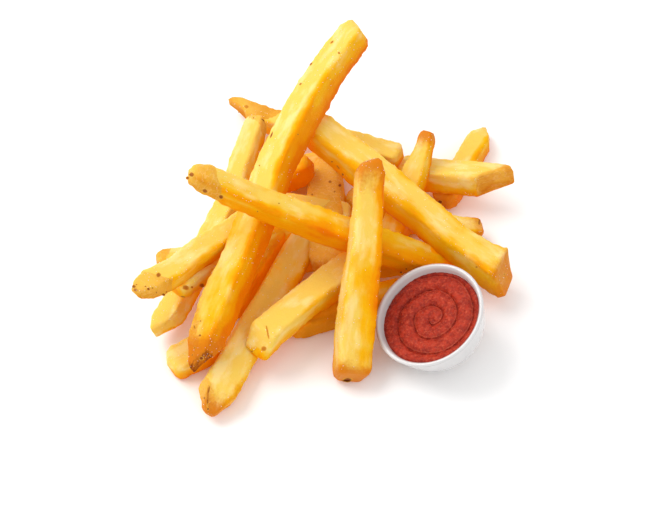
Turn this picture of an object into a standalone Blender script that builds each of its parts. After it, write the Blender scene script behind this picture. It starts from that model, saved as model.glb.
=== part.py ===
"""A loose heap of thick-cut french fries with a small white pot of tomato dip leaning in it.

Metres, +Z up. The heap lies on z = 0 and the origin is under the middle of its box.
Each fry is placed by its two ends: the point of the photograph where the end shows, and its
height above the table. The ray of sight through that point meets that height in one place.
A few fries under the others, which the photograph hides, close the heap from behind.
"""
import math
import random
from typing import NamedTuple

import bmesh
import bpy
from mathutils import Matrix, Vector

MM = 0.001

# The view of the photograph: 650 x 520 points, seen from a height of 55 degrees
FRAME_WIDTH = 650
FRAME_HEIGHT = 520
SIGHT_ELEVATION = math.radians(55.0)
SIGHT_DISTANCE = 900 * MM
POINT_SIZE = 0.40 * MM
SIGHT_TARGET = Vector((-1.6 * MM, -0.1 * MM, 0.0))

TOWARDS_EYE = Vector((0.0, -math.cos(SIGHT_ELEVATION), math.sin(SIGHT_ELEVATION)))
SIGHT_UP = Vector((0.0, math.sin(SIGHT_ELEVATION), math.cos(SIGHT_ELEVATION)))
EYE = SIGHT_TARGET + TOWARDS_EYE * SIGHT_DISTANCE

# The section of a fry: a square bar with worn corners
CORNER_SHARE = 0.15
SPAN_RINGS = 5
UNEVEN_SHARE = 0.035
SLANT_REACH = 15 * MM
SEED = 11

# The table cuts the heap flat
TABLE_BLOCK = 400 * MM

# The pot, a turned dish of glazed ware
POT_RIM_RADIUS = 22.0 * MM
POT_FOOT_RADIUS = 13.5 * MM
POT_HEIGHT = 17.0 * MM
POT_WALL = 1.7 * MM
POT_FLOOR = 2.4 * MM
POT_SIDES = 64
POT_RIM_CENTRE = (428.4, 314.0)
POT_AXIS = Vector((-0.387, -0.081, 0.919)).normalized()
POT_BASE_LIFT = 5.75 * MM

# The dip, which fills the pot to just under its rim
DIP_SURFACE = 14.0 * MM
DIP_GAP = 0.3 * MM
SWIRL_TURNS = 3.0
SWIRL_HEIGHT = 1.0 * MM
DIP_RINGS = 18
DIP_SIDES = 48


class End(NamedTuple):
    """One end of a fry: where it shows in the photograph, and its height in millimetres."""
    across: float
    down: float
    height: float


class Way(NamedTuple):
    """A place along a fry: its share of the length, how far it lies aside in millimetres, its size."""
    at: float
    aside: float
    size: float


STRAIGHT = (Way(0.0, 0.0, 1.0), Way(1.0, 0.0, 1.0))


class Fry(NamedTuple):
    """One fry: its ends, section in millimetres, roll in degrees, ways, and how it ends.

    Its ways bend it aside in the picture, to the left as it runs from head to tail, and
    make it thicker or thinner. An end narrows to its share of the section over its last
    millimetres, its taper, and is cut aslant: its left side reaches out by its slant.
    """
    head: End
    tail: End
    width: float
    depth: float
    roll: float = 0.0
    ways: tuple = STRAIGHT
    head_share: float = 0.72
    tail_share: float = 0.72
    head_taper: float = 5.0
    tail_taper: float = 5.0
    head_slant: float = 0.0
    tail_slant: float = 0.0


FRIES = {
    "long_leaning": Fry(
        End(361, 29, 53.7), End(200, 362, 18.5), 13.2, 12.0, 24,
        (Way(0, 0, 0.78), Way(0.14, -4.4, 0.92), Way(0.28, -6.3, 1.0), Way(0.41, -6.6, 0.97),
         Way(0.7, -3.2, 0.95), Way(0.86, -2.3, 0.96), Way(1, 0, 0.8)),
        0.66, 0.45, 4, 9, head_slant=2.0),
    "left_upright": Fry(
        End(258, 119, 16.2), End(164, 330, 9.5), 10.0, 9.2, 20,
        (Way(0, 0, 0.85), Way(0.16, 1.5, 0.92), Way(0.41, 3.4, 0.98), Way(1, -0.5, 1.02)),
        0.7, 0.7, 4, 5, tail_slant=-2.5),
    "front_upright": Fry(
        End(371, 160, 54.2), End(352, 378, 5.6), 13.0, 11.5, -16,
        (Way(0, 0, 0.80), Way(0.18, 0.2, 0.84), Way(0.41, 0.4, 0.92), Way(0.65, -0.3, 1.06),
         Way(1, -0.3, 1.08)),
        0.72, 0.84, 5, 4),
    "crossing": Fry(
        End(190, 173, 67.5), End(450, 270, 5.6), 11.6, 11.2, 8,
        (Way(0, 0, 0.84), Way(0.23, -0.9, 0.86), Way(0.35, -1.3, 0.91), Way(0.58, -1.1, 0.97), Way(1, 0, 1.0)),
        0.6, 0.8, 6, 4),
    "big_slanting": Fry(
        End(309, 124, 35.5), End(505, 276, 14.5), 13.2, 12.0, -6,
        (Way(0, 0, 0.96), Way(0.4, -0.8, 1.0), Way(0.65, -1.4, 0.95), Way(0.8, -1.3, 0.96), Way(1, 0, 1.14)),
        0.8, 0.86, 5, 3, tail_slant=-3.2),
    "left_skin_end": Fry(
        End(136, 291, 38.5), End(264, 211, 21.2), 9.6, 9.4, 6,
        (Way(0, 0, 0.92), Way(0.11, -1.0, 1.0), Way(0.26, -1.5, 1.0), Way(0.42, -0.9, 0.98), Way(1, 0, 1.0)),
        0.66, 0.8, 6, 4),
    "left_under": Fry(End(175, 288, 24.5), End(228, 254, 15.5), 10.0, 9.6, 0, STRAIGHT, 0.72, 0.8, 4, 4),
    "low_long": Fry(
        End(209, 414, 5.8), End(318, 219, 6.3), 13.6, 12.2, 20,
        (Way(0, 0, 1.0), Way(0.1, 1.3, 1.04), Way(0.2, 0.9, 1.0), Way(0.74, 0.7, 0.96), Way(1, 0, 0.96)),
        0.35, 0.8, 9, 4),
    "left_nub": Fry(End(157, 262, 3.3), End(222, 252, 3.3), 7.2, 7.6, 0, STRAIGHT, 0.7, 0.8, 3, 4),
    "foot_left": Fry(End(171, 367, 4.8), End(216, 343, 4.8), 11.5, 10.5, 0, STRAIGHT, 0.75, 0.8, 3, 4),
    "pale_cut_end": Fry(
        End(258, 344, 16), End(368, 259, 13.1), 12.4, 11.4, 0,
        (Way(0, 0, 1.02), Way(0.15, 1.1, 0.98), Way(0.41, 1.9, 0.93), Way(0.67, 1.4, 1.0), Way(1, 0, 1.0)),
        0.94, 0.8, 1.5, 4),
    "wide_skin_end": Fry(
        End(327, 161, 6.5), End(328, 270, 9.2), 13.8, 12.0, 10,
        (Way(0, 0, 0.8), Way(0.22, 0, 0.98), Way(0.36, 0, 1.06), Way(1, 0, 1.0)), 0.66, 0.8, 4, 4),
    "back_pointed": Fry(
        End(237, 108, 6.9), End(400, 158, 19), 8.8, 8.8, 0,
        (Way(0, 0, 0.95), Way(0.15, -1.0, 1.0), Way(1, 0, 1.0)), 0.55, 0.85, 5, 2, head_slant=5.0),
    "right_pointed": Fry(
        End(429, 132, 28.6), End(394, 238, 4.3), 10.4, 9.6, 12,
        (Way(0, 0, 0.66), Way(0.17, 0.3, 0.66), Way(0.26, 0, 0.78), Way(0.4, -0.3, 0.95), Way(1, 0, 1.0)),
        0.7, 0.8, 3, 4),
    "small_nub": Fry(End(399, 166, 3.5), End(375, 198, 3.5), 8.0, 8.0, 0, STRAIGHT, 0.6, 0.8, 3, 4),
    "right_level": Fry(
        End(397, 172, 9.2), End(497, 181, 17.5), 11.6, 11.0, 0, STRAIGHT, 0.8, 0.84, 4, 3, tail_slant=6.0),
    "right_back": Fry(
        End(487, 132, 4.2), End(441, 204, 4.2), 9.8, 9.4, 10,
        (Way(0, 0, 0.9), Way(0.3, -0.5, 1.0), Way(1, 0, 1.0)), 0.5, 0.7, 6, 4, head_slant=-1.5),
    "right_stub": Fry(End(480, 232, 4.2), End(424, 226, 14), 8.8, 9.0, 0, STRAIGHT, 0.8, 0.8, 2, 4),
    "low_level": Fry(End(290, 326, 5.6), End(409, 292, 4.5), 10.0, 10.0, 0, STRAIGHT, 0.8, 0.8, 4, 4),
    "dark_sliver": Fry(End(335, 270, 3.8), End(416, 260, 3.8), 8.5, 8.5, 0, STRAIGHT, 0.8, 0.6, 4, 6),
    "low_slanting": Fry(End(303, 203, 4.8), End(206, 295, 4.8), 10.5, 10.5, 12, STRAIGHT, 0.8, 0.7, 4, 4),
    "deep_stub": Fry(End(311, 166, 18.5), End(264, 183, 7.5), 11.5, 11.0, 0, STRAIGHT, 0.66, 0.8, 5, 4),
    "hidden_back": Fry(End(266, 178, 4.5), End(350, 158, 4.5), 10.0, 10.0, 14, STRAIGHT, 0.7, 0.7, 4, 4),
    "hidden_left": Fry(End(264, 204, 4.4), End(276, 140, 4.2), 9.0, 9.0, -10, STRAIGHT, 0.7, 0.7, 4, 4),
    "hidden_middle": Fry(End(262, 204, 9), End(350, 216, 9), 10.0, 10.0, 8, STRAIGHT, 0.7, 0.7, 4, 4),
    "hidden_right": Fry(End(346, 200, 4.5), End(424, 222, 4.5), 10.0, 10.0, -12, STRAIGHT, 0.7, 0.7, 4, 4),
}

# The mound that the fries lie on, in the middle where they hide it
CORE_AT = (300.0, 236.0)
CORE_RADII = (23 * MM, 19 * MM, 13 * MM)
CORE_SEGMENTS = 16
CORE_RINGS = 10


def place(across: float, down: float, height: float) -> Vector:
    """The point at this height that shows at this point of the photograph."""
    right = (across - FRAME_WIDTH / 2) * POINT_SIZE / SIGHT_DISTANCE
    up = (FRAME_HEIGHT / 2 - down) * POINT_SIZE / SIGHT_DISTANCE
    ray = Vector((right, 0.0, 0.0)) + SIGHT_UP * up - TOWARDS_EYE
    return EYE + ray * ((height - EYE.z) / ray.z)


def collection_named(name: str) -> bpy.types.Collection:
    """A new collection in the scene."""
    collection = bpy.data.collections.new(name)
    bpy.context.scene.collection.children.link(collection)
    return collection


def material(name: str, colour: tuple, roughness: float) -> bpy.types.Material:
    """A plain Principled material."""
    made = bpy.data.materials.new(name)
    made.use_nodes = True
    shader = made.node_tree.nodes["Principled BSDF"]
    shader.inputs["Base Color"].default_value = (*colour, 1.0)
    shader.inputs["Roughness"].default_value = roughness
    shader.inputs["Metallic"].default_value = 0.0
    return made


def add_object(name: str, shape: bmesh.types.BMesh, home: bpy.types.Collection) -> bpy.types.Object:
    """An object with this shape, in this collection."""
    mesh = bpy.data.meshes.new(name)
    shape.to_mesh(mesh)
    shape.free()
    made = bpy.data.objects.new(name, mesh)
    home.objects.link(made)
    return made


def square_bar() -> bmesh.types.BMesh:
    """A unit bar along X with worn corners, cut across at each ring."""
    bar = bmesh.new()
    bmesh.ops.create_cube(bar, size=1.0)
    long_edges = [edge for edge in bar.edges if abs(edge.verts[0].co.x - edge.verts[1].co.x) > 0.5]
    bmesh.ops.bevel(bar, geom=long_edges, offset=CORNER_SHARE, segments=1, affect="EDGES")
    long_edges = [edge for edge in bar.edges if abs(edge.verts[0].co.x - edge.verts[1].co.x) > 0.5]
    bmesh.ops.subdivide_edges(bar, edges=long_edges, cuts=SPAN_RINGS + 2)
    return bar


def ring_shares(fry: Fry, length: float) -> list:
    """Where each ring of a fry lies along it, and how full the section is there."""
    head = fry.head_taper * MM / length
    tail = 1 - fry.tail_taper * MM / length
    middle = [(head + (tail - head) * ring / (SPAN_RINGS - 1), 1.0) for ring in range(SPAN_RINGS)]
    first = [(0.0, fry.head_share * 0.82), (head * 0.3, 0.35 + 0.65 * fry.head_share)]
    last = [(1 - (1 - tail) * 0.3, 0.35 + 0.65 * fry.tail_share), (1.0, fry.tail_share * 0.82)]
    return first + middle + last


def between_ways(ways: tuple, station: float) -> tuple:
    """How far aside a fry lies and its size, at a share of its length, on a smooth curve."""
    after = next((index for index in range(1, len(ways)) if ways[index].at >= station), len(ways) - 1)
    first, last = ways[after - 1], ways[after]
    span = last.at - first.at
    share = (station - first.at) / span
    found = []
    for column in (1, 2):
        leans = []
        for index in (after - 1, after):
            back, ahead = ways[max(index - 1, 0)], ways[min(index + 1, len(ways) - 1)]
            leans.append((ahead[column] - back[column]) / (ahead.at - back.at) * span)
        rise = last[column] - first[column]
        bend = share * (1 - share) * ((leans[0] - rise) * (1 - share) - (leans[1] - rise) * share)
        found.append(first[column] + rise * share + bend)
    return tuple(found)


def fry_shape(fry: Fry, draw: random.Random) -> bmesh.types.BMesh:
    """A fry in its place: a bar bent along its ways, rolled, uneven and narrowed at its ends."""
    start = place(fry.head.across, fry.head.down, fry.head.height * MM)
    finish = place(fry.tail.across, fry.tail.down, fry.tail.height * MM)
    length = (finish - start).length
    along = (finish - start).normalized()
    upper = (Vector((0.0, 0.0, 1.0)) - along * along.z).normalized()
    upper = Matrix.Rotation(math.radians(fry.roll), 3, along) @ upper
    side = upper.cross(along).normalized()
    left = TOWARDS_EYE.cross(along).normalized()
    rings = ring_shares(fry, length)
    uneven = [(1 + draw.uniform(-1, 1) * UNEVEN_SHARE, 1 + draw.uniform(-1, 1) * UNEVEN_SHARE)
              for _ in rings]
    bar = square_bar()
    for vert in bar.verts:
        ring = round((vert.co.x + 0.5) * (len(rings) - 1))
        station, full = rings[ring]
        aside, size = between_ways(fry.ways, station)
        centre = start.lerp(finish, station) + left * (aside * MM)
        head_lean = max(0.0, 1 - station * length / SLANT_REACH) * fry.head_slant
        tail_lean = max(0.0, 1 - (1 - station) * length / SLANT_REACH) * fry.tail_slant
        centre = centre + along * ((tail_lean - head_lean) * MM * vert.co.y * 2)
        across = vert.co.y * fry.width * MM * full * size * uneven[ring][0]
        upward = vert.co.z * fry.depth * MM * full * size * uneven[ring][1]
        vert.co = centre + side * across + upper * upward
    return bar


def core_shape() -> bmesh.types.BMesh:
    """The low mound in the middle of the heap."""
    mound = bmesh.new()
    bmesh.ops.create_uvsphere(mound, u_segments=CORE_SEGMENTS, v_segments=CORE_RINGS, radius=1.0)
    seat = place(*CORE_AT, 0.0)
    size = Matrix.Diagonal(Vector((*CORE_RADII, 1.0)))
    bmesh.ops.transform(mound, matrix=Matrix.Translation(seat) @ size, verts=mound.verts)
    return mound


def apply_modifiers(target: bpy.types.Object) -> None:
    """Replace the object's mesh by its evaluated one and drop its modifiers."""
    evaluated = target.evaluated_get(bpy.context.evaluated_depsgraph_get())
    target.data = bpy.data.meshes.new_from_object(evaluated)
    target.modifiers.clear()


def shells(shape: bmesh.types.BMesh) -> list:
    """The separate closed surfaces of a shape, each as its list of faces."""
    waiting = set(shape.faces)
    found = []
    while waiting:
        first = waiting.pop()
        shell = [first]
        for face in shell:
            for edge in face.edges:
                for neighbour in edge.link_faces:
                    if neighbour in waiting:
                        waiting.remove(neighbour)
                        shell.append(neighbour)
        found.append(shell)
    return found


def enclosed_volume(shell: list) -> float:
    """The signed volume inside a closed surface: negative where it bounds a hollow."""
    total = 0.0
    for face in shell:
        corners = [vert.co for vert in face.verts]
        for second, third in zip(corners[1:], corners[2:]):
            total += corners[0].dot(second.cross(third)) / 6.0
    return total


def keep_outer_shell(target: bpy.types.Object) -> None:
    """Fill each sealed hollow and drop each loose scrap, so that one closed body is left."""
    shape = bmesh.new()
    shape.from_mesh(target.data)
    found = sorted(shells(shape), key=enclosed_volume)
    spare = [face for shell in found[:-1] for face in shell]
    bmesh.ops.delete(shape, geom=spare, context="FACES")
    shape.to_mesh(target.data)
    shape.free()


def build_fries(home: bpy.types.Collection, cutters: bpy.types.Collection) -> bpy.types.Object:
    """The heap: every fry that shows, fused to the core and cut flat where it lies."""
    draw = random.Random(SEED)
    heap = add_object("fries", core_shape(), home)
    loose = collection_named("loose_fries")
    for name, fry in FRIES.items():
        add_object("fry_" + name, fry_shape(fry, draw), loose)
    union = heap.modifiers.new("fuse", "BOOLEAN")
    union.operation = "UNION"
    union.operand_type = "COLLECTION"
    union.collection = loose
    apply_modifiers(heap)
    for piece in list(loose.objects):
        bpy.data.objects.remove(piece)
    bpy.data.collections.remove(loose)
    table = bmesh.new()
    bmesh.ops.create_cube(table, size=TABLE_BLOCK)
    bmesh.ops.translate(table, vec=(0.0, 0.0, -TABLE_BLOCK / 2), verts=table.verts)
    block = add_object("table_block", table, cutters)
    block.hide_render = True
    block.display_type = "WIRE"
    cut = heap.modifiers.new("rest_flat", "BOOLEAN")
    cut.operation = "DIFFERENCE"
    cut.object = block
    apply_modifiers(heap)
    keep_outer_shell(heap)
    heap.data.materials.clear()
    heap.data.materials.append(material("fried_potato", (0.86, 0.55, 0.12), 0.45))
    return heap


def turned(name: str, profile: list, sides: int, home: bpy.types.Collection) -> bpy.types.Object:
    """A turned solid: the profile runs down its outer side, from and to the axis."""
    outline = bmesh.new()
    points = [outline.verts.new((radius, 0.0, height)) for radius, height in profile]
    for first, second in zip(points, points[1:]):
        outline.edges.new((first, second))
    made = add_object(name, outline, home)
    screw = made.modifiers.new("turn", "SCREW")
    screw.steps = sides
    screw.render_steps = sides
    screw.use_merge_vertices = True
    screw.merge_threshold = 0.00001
    return made


def pot_place() -> Matrix:
    """The pot's own frame: its foot's centre at the origin and its axis along Z."""
    rim_height = POT_BASE_LIFT + POT_HEIGHT * POT_AXIS.z
    rim_centre = place(*POT_RIM_CENTRE, rim_height)
    foot = rim_centre - POT_AXIS * POT_HEIGHT
    return Matrix.Translation(foot) @ Vector((0, 0, 1)).rotation_difference(POT_AXIS).to_matrix().to_4x4()


def outer_radius(height: float) -> float:
    """The pot's outer radius at a height: a bowl that swells from its foot and stands up at the rim."""
    share = min(max(height / POT_HEIGHT, 0.0), 1.0)
    return POT_FOOT_RADIUS + (POT_RIM_RADIUS - POT_FOOT_RADIUS) * share ** 0.42


def inner_radius(height: float) -> float:
    """The pot's inner radius at a height above its floor."""
    share = min(max((height - POT_FLOOR) / (POT_HEIGHT - POT_FLOOR), 0.0), 1.0)
    foot = POT_FOOT_RADIUS - POT_WALL
    return foot + (POT_RIM_RADIUS - POT_WALL - foot) * share ** 0.36


def build_pot(home: bpy.types.Collection) -> bpy.types.Object:
    """The white pot: a thin bowl with a rounded rim and a flat foot."""
    levels = [share / 8 for share in range(9)]
    rim_roll = POT_WALL / 2
    wall_top = POT_HEIGHT - rim_roll
    inside = [(inner_radius(POT_FLOOR + (wall_top - POT_FLOOR) * level ** 1.8),
               POT_FLOOR + (wall_top - POT_FLOOR) * level ** 1.8) for level in levels]
    rim_middle = POT_RIM_RADIUS - rim_roll
    rim = [(rim_middle - rim_roll * math.cos(math.radians(angle)),
            wall_top + rim_roll * math.sin(math.radians(angle))) for angle in (40, 90, 140)]
    outside = [(outer_radius(wall_top * level ** 1.8), wall_top * level ** 1.8) for level in reversed(levels)]
    profile = [(0.0, POT_FLOOR)] + inside + rim + outside + [(0.0, 0.0)]
    pot = turned("pot", profile, POT_SIDES, home)
    pot.matrix_world = pot_place()
    pot.data.materials.append(material("white_glaze", (0.86, 0.86, 0.87), 0.15))
    pot.data.shade_smooth()
    return pot


def swirl_relief(radius: float, angle: float, reach: float) -> float:
    """Height of the dip's spiral ridge at a place on its surface."""
    phase = SWIRL_TURNS * radius / reach - angle / (2 * math.pi)
    fade = min(1.0, (1 - radius / reach) * 8) * min(1.0, radius / reach * 5 + 0.2)
    return SWIRL_HEIGHT * 0.5 * math.cos(2 * math.pi * phase) * fade


def build_dip(home: bpy.types.Collection) -> bpy.types.Object:
    """The dip: a solid that fits the pot's inside, with a spiral swirl in its top."""
    top_radius = inner_radius(DIP_SURFACE) - DIP_GAP
    surface = [(top_radius * ring / DIP_RINGS, DIP_SURFACE) for ring in range(DIP_RINGS + 1)]
    low = POT_FLOOR + DIP_GAP
    shares = (0.6, 0.3, 0.12, 0.03, 0.0)
    sides = [(inner_radius(low + (DIP_SURFACE - low) * share) - DIP_GAP, low + (DIP_SURFACE - low) * share)
             for share in shares]
    dip = turned("ketchup", surface + sides + [(0.0, low)], DIP_SIDES, home)
    dip.matrix_world = pot_place()
    bpy.context.view_layer.update()
    apply_modifiers(dip)
    for vert in dip.data.vertices:
        radius = math.hypot(vert.co.x, vert.co.y)
        if abs(vert.co.z - DIP_SURFACE) < 0.01 * MM and radius < top_radius - 0.1 * MM:
            vert.co.z += swirl_relief(radius, math.atan2(vert.co.y, vert.co.x), top_radius)
    dip.data.materials.append(material("tomato_dip", (0.42, 0.035, 0.02), 0.35))
    return dip


def main() -> None:
    """Build the heap, the pot and its dip."""
    for old in list(bpy.data.objects):
        bpy.data.objects.remove(old)
    home = collection_named("fries_with_dip")
    cutters = collection_named("cutters")
    build_fries(home, cutters)
    build_pot(home)
    build_dip(home)


main()
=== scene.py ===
"""Looks of a loose heap of thick-cut french fries with a small white pot of tomato dip in its edge.

Metres, +Z up, in the frame of the solids. Each fry is placed by its two ends: the point of the
photograph where the end shows, and its height above the table.
"""
import logging
import math
import random
from dataclasses import dataclass, field
from enum import Enum
from typing import Any, Iterable, Sequence

import bpy
from mathutils import Matrix, Vector, noise
from mathutils.bvhtree import BVHTree


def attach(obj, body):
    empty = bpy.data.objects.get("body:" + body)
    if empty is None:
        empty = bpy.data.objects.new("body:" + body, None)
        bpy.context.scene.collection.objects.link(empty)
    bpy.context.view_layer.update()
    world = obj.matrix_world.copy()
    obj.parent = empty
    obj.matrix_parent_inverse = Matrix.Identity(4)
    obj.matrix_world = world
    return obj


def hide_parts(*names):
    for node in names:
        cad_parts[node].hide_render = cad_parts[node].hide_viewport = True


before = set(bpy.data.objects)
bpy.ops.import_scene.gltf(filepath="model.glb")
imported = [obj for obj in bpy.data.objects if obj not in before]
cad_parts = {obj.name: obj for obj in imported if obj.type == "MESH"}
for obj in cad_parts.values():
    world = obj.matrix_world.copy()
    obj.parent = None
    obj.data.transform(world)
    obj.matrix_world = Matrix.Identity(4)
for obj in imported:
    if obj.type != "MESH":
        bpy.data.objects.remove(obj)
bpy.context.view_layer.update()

MM = 0.001
TABLE_GAP = 0.15 * MM
LOG = logging.getLogger("fries")
Colour = tuple[float, float, float, float]
Face = tuple[int, ...]


class SkinEnd(Enum):
    """Which ends of a fry still carry the potato's skin."""
    NONE = 0
    HEAD = 1
    TAIL = 2
    WHOLE = 3


class Kind(Enum):
    """The kinds of fry, each joined into one piece."""
    TOP = "fries_on_top"
    SKIN = "fries_with_skin"
    LOW = "fries_lying_low"


@dataclass(frozen=True)
class End:
    """One end of a fry: where it shows in the photograph, and its height in millimetres."""
    across: float
    down: float
    height: float


@dataclass(frozen=True)
class Way:
    """A place along a fry: its share of the length, its millimetres aside and its size."""
    at: float
    aside: float
    size: float


def bend(*rows: tuple[float, float, float]) -> tuple[Way, ...]:
    """Write a fry's ways as rows of numbers."""
    return tuple(Way(*row) for row in rows)


STRAIGHT = bend((0, 0, 1), (1, 0, 1))


@dataclass(frozen=True)
class Fry:
    """One fry: its kind, ends, section in millimetres, roll in degrees, and how it ends and looks.

    Its ways bend it aside in the picture, to the left as it runs from head to tail, and
    make it thicker or thinner. An end narrows to its share of the section over its last
    millimetres, its taper, and is cut aslant: its left side reaches out by its slant.
    Tone runs from 0, pale, to 1, deep orange, and tail_tone adds to it towards the tail: both are
    partly the fry's own colour and partly painted shade and light. Lean adds painted shade, more
    orange, on the side that shows right and low, away from the light. Skin reaches inwards from its
    end, the darker the more tan. An end with a slope is cut back on its upper side by so many millimetres.
    """
    kind: Kind
    head: End
    tail: End
    width: float
    depth: float
    roll: float = 0.0
    ways: tuple[Way, ...] = STRAIGHT
    head_share: float = 0.72
    tail_share: float = 0.72
    head_taper: float = 5.0
    tail_taper: float = 5.0
    head_slant: float = 0.0
    tail_slant: float = 0.0
    # tone and tail_tone: partly the fry's own colour, partly painted shade and light
    tone: float = 0.3
    skin: SkinEnd = SkinEnd.NONE
    skin_length: float = 14.0
    skin_lean: float = 3.0
    skin_tan: float = 0.3
    head_toast: float = 0.25
    tail_toast: float = 0.25
    tail_tone: float = 0.0
    # lean: painted shade, more orange on the side away from the light
    lean: float = 0.12
    head_slope: float = 0.0
    tail_slope: float = 0.0


# Tone and tail_tone below are partly each fry's own colour and partly painted shade and light: deep orange on
# low fries that lie in shade, such as deep_stub, low_level, dark_sliver and low_slanting, and pale on
# left_under, low_long and the tail of left_upright, which lie in shade. Lean is painted shade on the side
# away from the light.
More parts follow.
